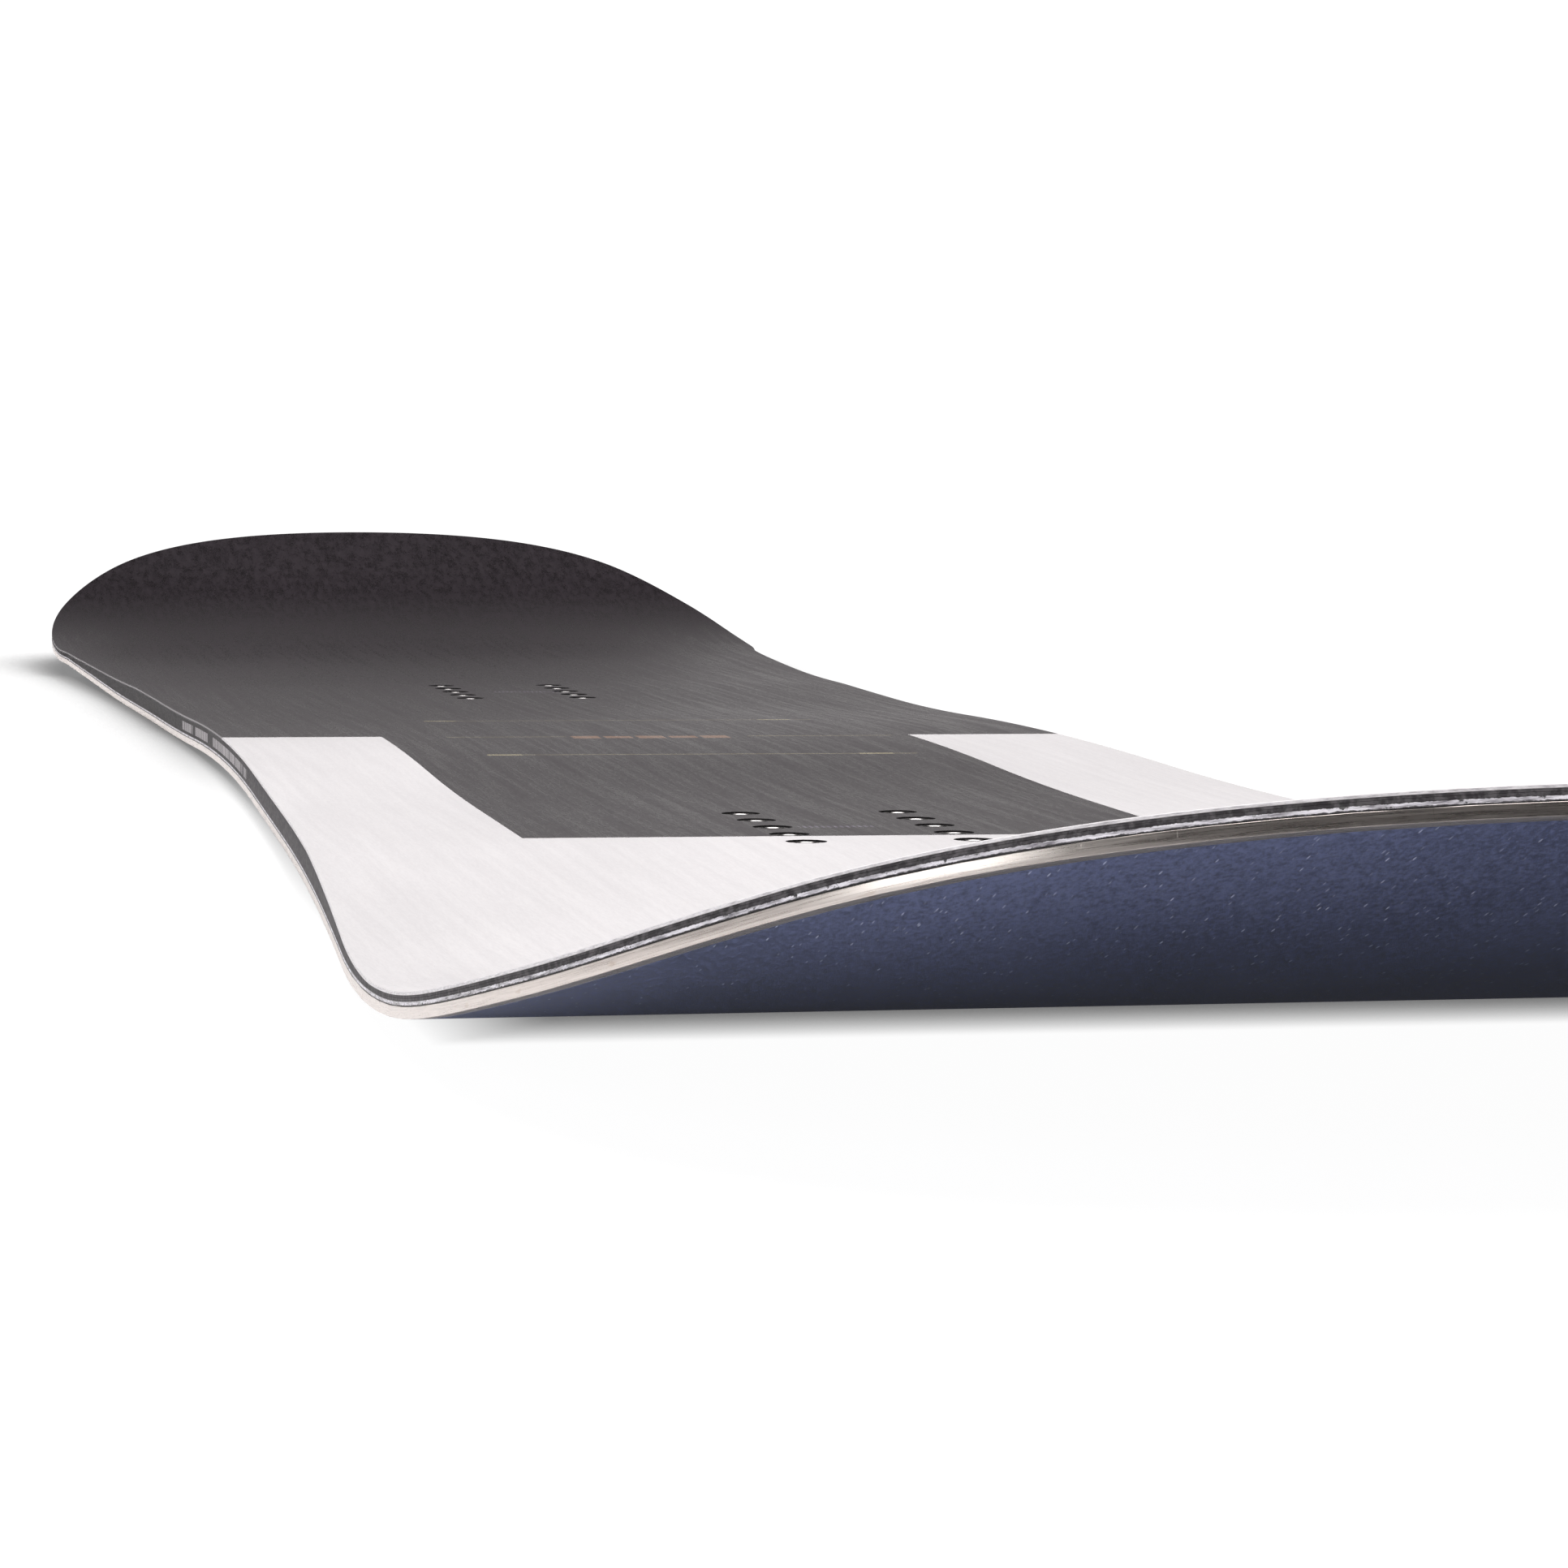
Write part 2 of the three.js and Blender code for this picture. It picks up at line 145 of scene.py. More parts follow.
def alongArc(spot, length, start, end):
    # a spot further along, where the slope turns evenly from start to end
    mean, half = (start + end) / 2, (end - start) / 2
    chord = length if abs(half) < 1e-9 else length * math.sin(half) / half
    return spot[0] + chord * math.cos(mean), spot[1] + chord * math.sin(mean)


def baseLine(s):
    # place along and height of the base's face, from the level stretch outward
    way = 1 if s > levelAt else -1
    between = [m for m, _ in profile if way * (m - levelAt) > 0 and way * (s - m) > 0]
    spot, here = (levelAt, 0.0), levelAt
    for mark in sorted(between, key=lambda m: way * m) + [s]:
        spot = alongArc(spot, mark - here, slopeAt(here), slopeAt(mark))
        here = mark
    return spot


midLength = (baseLine(nose["end"])[0] + baseLine(tail["end"])[0]) / 2
lineCache = {}


def onBoard(x, s, t):
    key = round(s, 7)
    if key not in lineCache:
        lineCache[key] = (*baseLine(s), slopeAt(s))
    y, z, slope = lineCache[key]
    return Vector((x, y - midLength - t * math.sin(slope), z + t * math.cos(slope)))


def thickness(s):
    start, end = layers["noseTaper"] if s < 0 else layers["tailTaper"]
    share = min(max((s - start) / (end - start), 0), 1)
    return layers["full"] + (layers["tip"] - layers["full"]) * share


def topsheetLow(s):
    return thickness(s) - layers["topsheet"]


def topGlassHigh(s):
    return topsheetLow(s) - layers["glue"]


def topGlassLow(s):
    return topGlassHigh(s) - layers["topGlass"]


def coreHigh(s):
    return topGlassLow(s) - layers["glue"]


# ---- modelling helpers ----


def objectMode():
    if bpy.context.object and bpy.context.object.mode != "OBJECT":
        bpy.ops.object.mode_set(mode="OBJECT")


def clearSelection():
    objectMode()
    bpy.ops.object.select_all(action="DESELECT")


def pick(piece):
    clearSelection()
    piece.select_set(True)
    bpy.context.view_layer.objects.active = piece


def newest(name):
    # names the object that the last operator made
    piece = bpy.context.object
    piece.name = name
    piece.data.name = name
    return piece


def chooseEdges(piece, test):
    # selects the edges whose two ends pass the test, in edge mode
    bpy.ops.object.mode_set(mode="EDIT")
    bpy.ops.mesh.select_mode(type="EDGE")
    bpy.ops.mesh.select_all(action="DESELECT")
    bpy.ops.object.mode_set(mode="OBJECT")
    for edge in piece.data.edges:
        a, b = (piece.data.vertices[i].co for i in edge.vertices)
        edge.select = test(a, b)
    bpy.ops.object.mode_set(mode="EDIT")


def chooseFaces(piece, test):
    bpy.ops.object.mode_set(mode="EDIT")
    bpy.ops.mesh.select_mode(type="FACE")
    bpy.ops.mesh.select_all(action="DESELECT")
    bpy.ops.object.mode_set(mode="OBJECT")
    for face in piece.data.polygons:
        face.select = test(face)
    bpy.ops.object.mode_set(mode="EDIT")


def useModifier(piece, kind, **settings):
    pick(piece)
    modifier = piece.modifiers.new(kind.lower(), kind)
    for key, value in settings.items():
        setattr(modifier, key, value)
    bpy.ops.object.modifier_apply(modifier=modifier.name)


def smooth(piece, degrees=30):
    pick(piece)
    bpy.ops.object.shade_smooth_by_angle(angle=math.radians(degrees))


def settle(piece, material, slot, *nodes):
    # the last steps for every piece: finish, body and the nodes it stands for
    piece.data.materials.clear()
    piece.data.materials.append(material)
    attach(piece, "root")
    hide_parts(*nodes)
    return piece


def rimUv(piece, marks):
    # the piece's own map: u along the rim and v up from the base's face, in metres
    layer = piece.data.uv_layers.get("rim") or piece.data.uv_layers.new(name="rim")
    for loop in piece.data.loops:
        layer.data[loop.index].uv = marks[loop.vertex_index]


def flatSheet(name, columns, lengthRows):
    # a flat grid thickened in edit mode, with whole numbers for its columns and rows
    clearSelection()
    bpy.ops.mesh.primitive_grid_add(x_subdivisions=columns, y_subdivisions=lengthRows, size=1)
    piece = newest(name)
    bpy.ops.object.mode_set(mode="EDIT")
    bpy.ops.mesh.select_all(action="SELECT")
    bpy.ops.mesh.extrude_region_move(TRANSFORM_OT_translate={"value": (0, 0, 1)})
    bpy.ops.mesh.select_all(action="SELECT")
    bpy.ops.mesh.normals_make_consistent(inside=False)
    bpy.ops.object.mode_set(mode="OBJECT")
    return piece


def laySheet(name, insets, across, low, high, first=0, last=None):
    # a layer of the board: rim columns at the given insets, then even columns in between
    last = len(rows) - 1 if last is None else last
    columns = [(-1, d) for d in insets]
    columns += [(0, -1 + 2 * k / across) for k in range(1, across)]
    columns += [(1, d) for d in reversed(insets)]
    piece = flatSheet(name, len(columns) - 1, last - first)
    marks = []
    for vertex in piece.data.vertices:
        side, value = columns[round((vertex.co.x + 0.5) * (len(columns) - 1))]
        row = first + round((vertex.co.y + 0.5) * (last - first))
        inset = value if side else insets[-1]
        x, s = rows[row][0] + insides[row][0] * inset, rows[row][1] + insides[row][1] * inset
        x *= side if side else value
        t = high(inset, s) if vertex.co.z > 0.5 else low(inset, s)
        vertex.co = onBoard(x, s, t)
        marks.append((rimLength[row] * (side or 1), t + inset))
    rimUv(piece, marks)
    pick(piece)
    bpy.ops.object.mode_set(mode="EDIT")
    bpy.ops.mesh.select_all(action="SELECT")
    bpy.ops.mesh.remove_doubles(threshold=1e-6)
    # where a tip closes, the two halves' end walls would be left inside
    points = piece.data.vertices
    chooseFaces(piece, lambda face: all(abs(points[i].co.x) < 1e-7 for i in face.vertices))
    bpy.ops.mesh.delete(type="ONLY_FACE")
    bpy.ops.mesh.select_all(action="SELECT")
    bpy.ops.mesh.normals_make_consistent(inside=False)
    bpy.ops.object.mode_set(mode="OBJECT")
    return piece


def straightBar(name, width, height):
    # a bar one unit long with one corner at the origin, x in from the rim and z up
    clearSelection()
    bpy.ops.mesh.primitive_cube_add(size=1, location=(0, 0, 0))
    piece = newest(name)
    bpy.ops.object.mode_set(mode="EDIT")
    bpy.ops.mesh.select_all(action="SELECT")
    bpy.ops.transform.translate(value=(0.5, 0.5, 0.5))
    bpy.ops.object.mode_set(mode="OBJECT")
    for vertex in piece.data.vertices:
        vertex.co = (vertex.co.x * width, vertex.co.y, vertex.co.z * height)
    return piece


seam = 0.0001  # half the gap where left and right bars meet at a tip


def layBar(piece, side, first, last, height):
    # cuts a straight bar into rows and lays it round the rim
    pick(piece)
    chooseEdges(piece, lambda a, b: abs(a.y - b.y) > 0.5)
    bpy.ops.mesh.subdivide(number_cuts=last - first - 1)
    bpy.ops.object.mode_set(mode="OBJECT")
    marks = []
    for vertex in piece.data.vertices:
        row = first + round(vertex.co.y * (last - first))
        inset = vertex.co.x
        x, s = rows[row][0] + insides[row][0] * inset, rows[row][1] + insides[row][1] * inset
        t = height(vertex.co.z, s)
        vertex.co = onBoard(side * max(x, seam), s, t)
        marks.append((rimLength[row], t + inset))
    rimUv(piece, marks)
    pick(piece)
    bpy.ops.object.mode_set(mode="EDIT")
    bpy.ops.mesh.select_all(action="SELECT")
    bpy.ops.mesh.normals_make_consistent(inside=False)
    bpy.ops.object.mode_set(mode="OBJECT")
    return piece


# ---- material helpers ----


def put(tree, kind, inputs=None, **settings):
    node = tree.nodes.new("ShaderNode" + kind)
    for key, value in settings.items():
        setattr(node, key, value)
    for key, value in (inputs or {}).items():
        if isinstance(value, bpy.types.NodeSocket):
            tree.links.new(value, node.inputs[key])
        else:
            node.inputs[key].default_value = value
    return node


def calc(tree, operation, *values, clamp=False):
    inputs = dict(enumerate(values))
    return put(tree, "Math", inputs, operation=operation, use_clamp=clamp).outputs[0]


def mixColour(tree, amount, a, b, kind="MIX"):
    a, b = (c if isinstance(c, bpy.types.NodeSocket) else (*c, 1) for c in (a, b))
    return put(tree, "Mix", {0: amount, 6: a, 7: b}, data_type="RGBA", blend_type=kind).outputs[2]


def spread(tree, value, low, high, toLow=0.0, toHigh=1.0):
    inputs = {0: value, 1: low, 2: high, 3: toLow, 4: toHigh}
    return put(tree, "MapRange", inputs, clamp=True).outputs[0]


def weigh(tree, a, share, b):
    # a and b added up, with the given share of a
    return calc(tree, "ADD", calc(tree, "MULTIPLY", a, share), calc(tree, "MULTIPLY", b, 1 - share))


def parts(tree, vector):
    return put(tree, "SeparateXYZ", {0: vector}).outputs


def noise(tree, vector, scale, detail=3.0, roughness=0.5):
    inputs = {"Vector": vector, "Scale": scale, "Detail": detail, "Roughness": roughness}
    return put(tree, "TexNoise", inputs).outputs[0]


def stretched(tree, vector, x, y, z=1.0):
    return put(tree, "Mapping", {"Vector": vector, "Scale": (x, y, z)}).outputs[0]


def place(tree):
    return put(tree, "TexCoord").outputs["Object"]


def rimPlace(tree):
    return put(tree, "UVMap", uv_map="rim").outputs[0]


def newMaterial(name):
    material = bpy.data.materials.new(name)
    material.use_nodes = True
    material.node_tree.nodes.clear()
    return material, material.node_tree


def finishMaterial(tree, colour, roughness, height=None, bump=0.2, distance=0.0001, **fixed):
    shader = put(tree, "BsdfPrincipled", {"Base Color": colour, "Roughness": roughness})
    for key, value in fixed.items():
        shader.inputs[key.replace("_", " ")].default_value = value
    if height is not None:
        inputs = {"Strength": bump, "Distance": distance, "Height": height}
        tree.links.new(put(tree, "Bump", inputs).outputs[0], shader.inputs["Normal"])
    out = put(tree, "OutputMaterial")
    tree.links.new(shader.outputs[0], out.inputs[0])


def newGroup(name, inputs, outputs):
    tree = bpy.data.node_groups.new(name, "ShaderNodeTree")
    for label, kind in inputs:
        tree.interface.new_socket(name=label, in_out="INPUT", socket_type="NodeSocket" + kind)
    for label, kind in outputs:
        tree.interface.new_socket(name=label, in_out="OUTPUT", socket_type="NodeSocket" + kind)
    start = tree.nodes.new("NodeGroupInput")
    end = tree.nodes.new("NodeGroupOutput")
    return tree, start.outputs, end.inputs


def useGroup(tree, group, **inputs):
    node = tree.nodes.new("ShaderNodeGroup")
    node.node_tree = group
    for key, value in inputs.items():
        if isinstance(value, bpy.types.NodeSocket):
            tree.links.new(value, node.inputs[key])
        else:
            node.inputs[key].default_value = value
    return node.outputs


# lengthwise grain: fine stripes and finer speckle, both drawn out along y
def makeGrainGroup():
    tree, given, out = newGroup(
        "lengthGrain",
        [("Vector", "Vector"), ("Stripes", "Float"), ("Speckle", "Float")],
        [("Value", "Float"), ("Height", "Float")],
    )
    stripes = noise(tree, stretched(tree, given["Vector"], 1, 0.02, 1), given["Stripes"], 2, 0.5)
    speckle = noise(tree, stretched(tree, given["Vector"], 1, 0.1, 1), given["Speckle"], 3, 0.8)
    tree.links.new(weigh(tree, stripes, 0.4, speckle), out["Value"])
    tree.links.new(speckle, out["Height"])
    return tree


# fine scratches drawn out along the rim's own map, with a few across
def makeScratchGroup():
    tree, given, out = newGroup(
        "rimScratches",
        [("Vector", "Vector"), ("Fine", "Float"), ("Stretch", "Float")],
        [("Along", "Float"), ("Across", "Float")],
    )
    scale = put(tree, "CombineXYZ", {0: given["Stretch"], 1: 1.0, 2: 1.0}).outputs[0]
    drawn = put(tree, "VectorMath", {0: given["Vector"], 1: scale}, operation="MULTIPLY").outputs[0]
    tree.links.new(noise(tree, drawn, given["Fine"], 4, 0.65), out["Along"])
    cross = noise(tree, stretched(tree, given["Vector"], 1, 0.05), given["Fine"], 2, 0.5)
    tree.links.new(spread(tree, cross, 0.68, 0.74), out["Across"])
    return tree


# brighter or rubbed edges, from how sharply the mesh turns
def makeWearGroup():
    inputs = [("Vector", "Vector"), ("Patch", "Float")]
    tree, given, out = newGroup("edgeWear", inputs, [("Mask", "Float")])
    sharp = spread(tree, put(tree, "NewGeometry").outputs["Pointiness"], 0.51, 0.58)
    patches = spread(tree, noise(tree, given["Vector"], given["Patch"], 4, 0.6), 0.45, 0.6)
    tree.links.new(calc(tree, "MULTIPLY", sharp, patches), out["Mask"])
    return tree


lengthGrain = makeGrainGroup()
rimScratches = makeScratchGroup()
edgeWear = makeWearGroup()


# ---- topsheet ----

printing = {"dark": (0.030, 0.023, 0.029), "darkLow": (0.011, 0.0085, 0.0105),
            "white": (0.985, 0.978, 0.988), "whiteLow": (0.90, 0.89, 0.905),
            "gold": (0.42, 0.37, 0.22), "copper": (0.33, 0.19, 0.12), "lilac": (0.24, 0.21, 0.29),
            "edge": 0.0205, "nearEnd": -0.2985, "bandHalf": 0.08, "leanX": -0.0135, "leanY": 0.038}

# places of the small print, as place along, middle across and half length across
goldLines = [(0.108, 0.005, 0.062), (0.017, -0.043, 0.018), (0.017, 0.052, 0.022), (-0.053, 0.005, 0.062)]
goldDashes = {"along": (0.108, -0.053), "across": (-0.0525, 0.055), "half": (0.005, 0.0016)}
copperBars = {"count": 5, "first": -0.0195, "pace": 0.0098, "along": 0.0145, "half": 0.0041,
              "long": 0.0055, "short": 0.0042}
tickRows = [(-0.2735, -0.001, 0.009), (0.304, 0.0015, 0.0125)]
thin = {"line": 0.0007, "tick": 0.0022, "tickPace": 4200}


def bar(tree, x, y, centre, half):
    # 1 inside a rectangle of the print, 0 outside
    inside = []
    for value, middle, reach in ((x, centre[0], half[0]), (y, centre[1], half[1])):
        away = calc(tree, "ABSOLUTE", calc(tree, "SUBTRACT", value, middle))
        inside.append(calc(tree, "LESS_THAN", away, reach))
    return calc(tree, "MULTIPLY", *inside)


def inked(tree, mask, strength, colour, ink):
    return mixColour(tree, calc(tree, "MULTIPLY", mask, strength), colour, printing[ink])


def printedLines(tree, x, y, colour):
    for along, middle, reach in goldLines:
        line = bar(tree, x, y, (middle, along), (reach, thin["line"]))
        colour = inked(tree, line, 0.55, colour, "gold")
    for along in goldDashes["along"]:
        for middle in goldDashes["across"]:
            dash = bar(tree, x, y, (middle, along), goldDashes["half"])
            colour = inked(tree, dash, 0.85, colour, "gold")
    for k in range(copperBars["count"]):
        middle = copperBars["first"] + copperBars["pace"] * k
        high = copperBars["short" if k % 2 else "long"]
        block = bar(tree, x, y, (middle, copperBars["along"]), (copperBars["half"], high))
        colour = inked(tree, block, 0.7, colour, "copper")
    ticks = calc(tree, "GREATER_THAN", calc(tree, "SINE", calc(tree, "MULTIPLY", x, thin["tickPace"])), 0.1)
    for along, middle, reach in tickRows:
        row = bar(tree, x, y, (middle, along), (reach, thin["tick"]))
        colour = inked(tree, calc(tree, "MULTIPLY", row, ticks), 0.6, colour, "lilac")
    return colour


def topsheetPrint():
    material, tree = newMaterial("topsheetPrint")
    vector = place(tree)
    split = parts(tree, vector)
    # the print lies slightly askew on the board
    x = calc(tree, "MULTIPLY_ADD", split[1], printing["leanX"], split[0])
    y = calc(tree, "MULTIPLY_ADD", split[0], printing["leanY"], split[1])
    grain = useGroup(tree, lengthGrain, Vector=vector, Stripes=420.0, Speckle=1900.0)
    tone = spread(tree, grain["Value"], 0.38, 0.62)
    dark = mixColour(tree, tone, printing["darkLow"], printing["dark"])
    white = mixColour(tree, tone, printing["whiteLow"], printing["white"])
    towardsTail = calc(tree, "GREATER_THAN", y, printing["edge"])
    pastNear = calc(tree, "GREATER_THAN", y, printing["nearEnd"])
    inBand = calc(tree, "LESS_THAN", calc(tree, "ABSOLUTE", x), printing["bandHalf"])
    charcoal = calc(tree, "MAXIMUM", towardsTail, calc(tree, "MULTIPLY", pastNear, inBand))
    colour = mixColour(tree, charcoal, white, printedLines(tree, x, y, dark))
    cloud = noise(tree, stretched(tree, vector, 1, 0.4), 9, 3)
    colour = mixColour(tree, spread(tree, cloud, 0.35, 0.7, 0, 0.12), colour, (0.0, 0.0, 0.0))
    rough = spread(tree, calc(tree, "MULTIPLY", tone, charcoal), 0, 1, 0.24, 0.34)
    height = calc(tree, "MULTIPLY", grain["Height"], spread(tree, charcoal, 0, 1, 0.03, 1))
    finishMaterial(tree, colour, rough, height, 0.08, 0.00005, Specular_IOR_Level=0.25)
    return material


def topsheetSide():
    # the cut side of the topsheet: milky by the white print, smoky by the charcoal
    material, tree = newMaterial("topsheetSide")
    vector = rimPlace(tree)
    cut = useGroup(tree, rimScratches, Vector=vector, Fine=2600.0, Stretch=0.2)
    split = parts(tree, place(tree))
    tone = spread(tree, cut["Along"], 0.3, 0.62)
    milky = mixColour(tree, tone, (0.42, 0.41, 0.43), (0.84, 0.83, 0.85))
    smoky = mixColour(tree, tone, (0.10, 0.095, 0.10), (0.24, 0.23, 0.24))
    y = calc(tree, "MULTIPLY_ADD", split[0], printing["leanY"], split[1])
    colour = mixColour(tree, calc(tree, "GREATER_THAN", y, printing["edge"]), milky, smoky)
    rough = spread(tree, cut["Along"], 0.3, 0.7, 0.3, 0.55)
    finishMaterial(tree, colour, rough, cut["Along"], 0.5, 0.0001)
    return material


def shadedHoleWall():
    # the drilled sides of the insert holes: scuffed plastic, painted near black as painted shade inside the
    # holes
    material, tree = newMaterial("shadedHoleWall")
    scuff = noise(tree, place(tree), 1600, 4, 0.6)
    colour = mixColour(tree, spread(tree, scuff, 0.35, 0.65), (0.006, 0.005, 0.006), (0.03, 0.027, 0.03))
    rough = spread(tree, scuff, 0.3, 0.7, 0.5, 0.75)
    finishMaterial(tree, colour, rough, scuff, 0.3, 0.0001, Specular_IOR_Level=0.2)
    return material


insert = {"barrel": 0.0046, "thread": 0.00265, "root": 0.003, "flange": 0.009, "flangeHigh": 0.0032,
          "low": 0.002, "top": 0.00815, "floor": 0.0028, "pitch": 0.001, "hole": 0.00485, "sides": 40,
          "shoulder": (0.00025, 0.0001), "mouth": 0.0002, "flangeCorner": 0.0001, "turns": 4,
          "threadSunk": 0.0001, "threadHalf": 0.0004, "threadStart": 0.0006}
packs = {"halfWidth": 0.05, "halfLength": 0.45}  # the part of the board that the holes lie in


def insertCentres():
    centres = {}
    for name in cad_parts:
        if name.startswith("insert_"):
            low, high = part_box(name)
            centres[name] = (low + high) / 2
    return centres


def drillInserts(piece):
    # one joined cutter for all the insert holes
    clearSelection()
    cutters = []
    for centre in insertCentres().values():
        bpy.ops.mesh.primitive_cylinder_add(
            vertices=insert["sides"], radius=insert["hole"], depth=0.03,
            location=(centre.x, centre.y, 0.005))
        cutters.append(bpy.context.object)
    for cutter in cutters:
        cutter.select_set(True)
    bpy.ops.object.join()
    cutter = bpy.context.object
    useModifier(piece, "BOOLEAN", object=cutter, operation="DIFFERENCE", solver="EXACT")
    bpy.data.objects.remove(cutter)


sheetEdge = 0.00014  # the topsheet's rubbed upper corner
innerColumn = 0.004  # how far in from the rim the sheets' even columns start
step = 0.00002  # the run of a step between two heights


def buildTopsheet():
    insets = [0.0, sheetEdge, innerColumn]
    piece = laySheet(
        "topsheet_skin", insets, 14, lambda d, s: topsheetLow(s),
        lambda d, s: thickness(s) - (sheetEdge if d < sheetEdge / 2 else 0))
    drillInserts(piece)
    settle(piece, topsheetPrint(), "topsheet", "topsheet")
    piece.data.materials.append(topsheetSide())
    piece.data.materials.append(shadedHoleWall())
    for face in piece.data.polygons:
        if face.normal.z < 0.8 and abs(face.normal.z) < 0.9:
            x, y = abs(face.center.x), abs(face.center.y)
            drilled = x < packs["halfWidth"] and y < packs["halfLength"]
            # the walls of the insert holes take the painted shade; the rim's cut sides take the topsheet's
            # own side
            face.material_index = 2 if drilled else 1
    smooth(piece, 35)


buildTopsheet()
print("topsheet laid")


# ---- laminates, sidewalls, spacers and foils ----


# rows of plain ticks on the left sidewall: where each starts and ends along, and its pace
sideTicks = {"rows": [(0.173, 0.135, 900), (0.126, 0.08, 760), (0.06, -0.068, 1150)],
             "height": 0.0052, "half": 0.0014, "ink": (0.62, 0.6, 0.62)}


# the ticks printed on the left sidewall, and painted shade that darkens the sidewall towards the tail
def sidePrintAndShade(tree, vector, colour):
    split = parts(tree, place(tree))
    height = parts(tree, vector)[1]
    marks = 0.0
    for start, end, pace in sideTicks["rows"]:
        centre = ((start + end) / 2, sideTicks["height"])
        block = bar(tree, split[1], height, centre, ((start - end) / 2, sideTicks["half"]))
        ticks = noise(tree, put(tree, "CombineXYZ", {1: split[1]}).outputs[0], pace, 0)
        block = calc(tree, "MULTIPLY", block, calc(tree, "GREATER_THAN", ticks, 0.5))
        marks = calc(tree, "MAXIMUM", block, marks)
    leftSide = calc(tree, "LESS_THAN", split[0], 0)
    # painted shade: the sidewall is darkened towards the tail, where less light falls on it
    paintedTailShade = spread(tree, split[1], -0.1, 0.15, 0, 0.65)
    colour = mixColour(tree, paintedTailShade, colour, (0.012, 0.011, 0.012))
    return mixColour(tree, calc(tree, "MULTIPLY", marks, leftSide), colour, sideTicks["ink"])


def darkPlastic(name, low, high, printedAndShaded=False):
    # sanded black plastic with marks along the rim
    material, tree = newMaterial(name)
    vector = rimPlace(tree)
    sanded = useGroup(tree, rimScratches, Vector=vector, Fine=1900.0, Stretch=0.1)
    cloudy = noise(tree, stretched(tree, vector, 1, 3), 60, 3)
    tone = weigh(tree, sanded["Along"], 0.7, cloudy)
    colour = mixColour(tree, spread(tree, tone, 0.36, 0.64), low, high)
    worn = useGroup(tree, edgeWear, Vector=place(tree), Patch=700.0)["Mask"]
    colour = mixColour(tree, calc(tree, "MULTIPLY", worn, 0.25), colour, (0.3, 0.29, 0.3))
    # the side print, and the painted shade towards the tail
    if printedAndShaded:
        colour = sidePrintAndShade(tree, vector, colour)
    rough = spread(tree, tone, 0.3, 0.7, 0.5, 0.7)
    finishMaterial(tree, colour, rough, sanded["Along"], 0.35, 0.00008, Specular_IOR_Level=0.12)
    return material


# the silver line of sawn glass: heights between which it starts and ends, and how far they wander
silverLine = {"start": (0.00252, 0.0026), "end": (0.00304, 0.00312), "wander": 0.0006}


def raggedGlass():
    # sawn glass fibre and resin: silver slivers broken by dark nicks
    material, tree = newMaterial("raggedGlass")
    vector = rimPlace(tree)
    slivers = noise(tree, stretched(tree, vector, 0.22, 1.6), 900, 5, 0.62)
    nicks = noise(tree, stretched(tree, vector, 1, 1.4), 420, 4, 0.7)
    silver = mixColour(tree, spread(tree, slivers, 0.38, 0.58), (0.22, 0.21, 0.24), (0.84, 0.83, 0.89))
    # the line's upper and lower borders wander, with dark resin outside them
    drift = noise(tree, stretched(tree, vector, 1, 0.3), 1100, 4, 0.65)
    border = calc(tree, "MULTIPLY_ADD", drift, silverLine["wander"], parts(tree, vector)[1])
    lower = spread(tree, border, *silverLine["start"])
    upper = spread(tree, border, *silverLine["end"], 1, 0)
    resin = calc(tree, "SUBTRACT", 1.0, calc(tree, "MULTIPLY", lower, upper))
    dark = calc(tree, "MAXIMUM", resin, spread(tree, nicks, 0.6, 0.66))
    colour = mixColour(tree, dark, silver, (0.03, 0.028, 0.032))
    rough = spread(tree, slivers, 0.35, 0.65, 0.25, 0.6)
    finishMaterial(tree, colour, rough, slivers, 1.0, 0.0004, Specular_IOR_Level=0.6)
    return material


def rubber():
    material, tree = newMaterial("dampingRubber")
    grain = noise(tree, rimPlace(tree), 1500, 4)
    colour = mixColour(tree, grain, (0.008, 0.008, 0.008), (0.03, 0.028, 0.028))
    rough = spread(tree, grain, 0.3, 0.7, 0.6, 0.9)
    finishMaterial(tree, colour, rough, grain, 0.3, 0.00005)
    return material


def nearestRow(s):
    return min(range(len(rows)), key=lambda i: abs(rows[i][1] - s))


sidewall = {"ends": (nearestRow(-0.64), nearestRow(0.65)), "width": 0.008}
glassStep = {"outer": 0.0125, "inner": 0.01315, "spacer": 0.01335}
foilWidth = 0.012


def buildLaminates():
    top = laySheet(
        "top_glass_layer", [0.0, innerColumn], 10,
        lambda d, s: topGlassLow(s), lambda d, s: topGlassHigh(s))
    drillInserts(top)
    laminate = darkPlastic("darkLaminate", (0.030, 0.028, 0.031), (0.058, 0.055, 0.060))
    settle(top, laminate, "dark_laminate", "top_laminate")
    outer, inner = glassStep["outer"], glassStep["inner"]
    insets = [0.0, innerColumn, outer, outer + step, inner, inner + step]
    bottom = laySheet(
        "bottom_glass_layer", insets, 10,
        lambda d, s: layers["glassLow"] if d <= outer else layers["trayLow"],
        lambda d, s: layers["glassHigh"] if d <= inner else layers["trayHigh"])
    settle(bottom, raggedGlass(), "glass_laminate", "bottom_laminate")
    for piece in (top, bottom):
        smooth(piece)


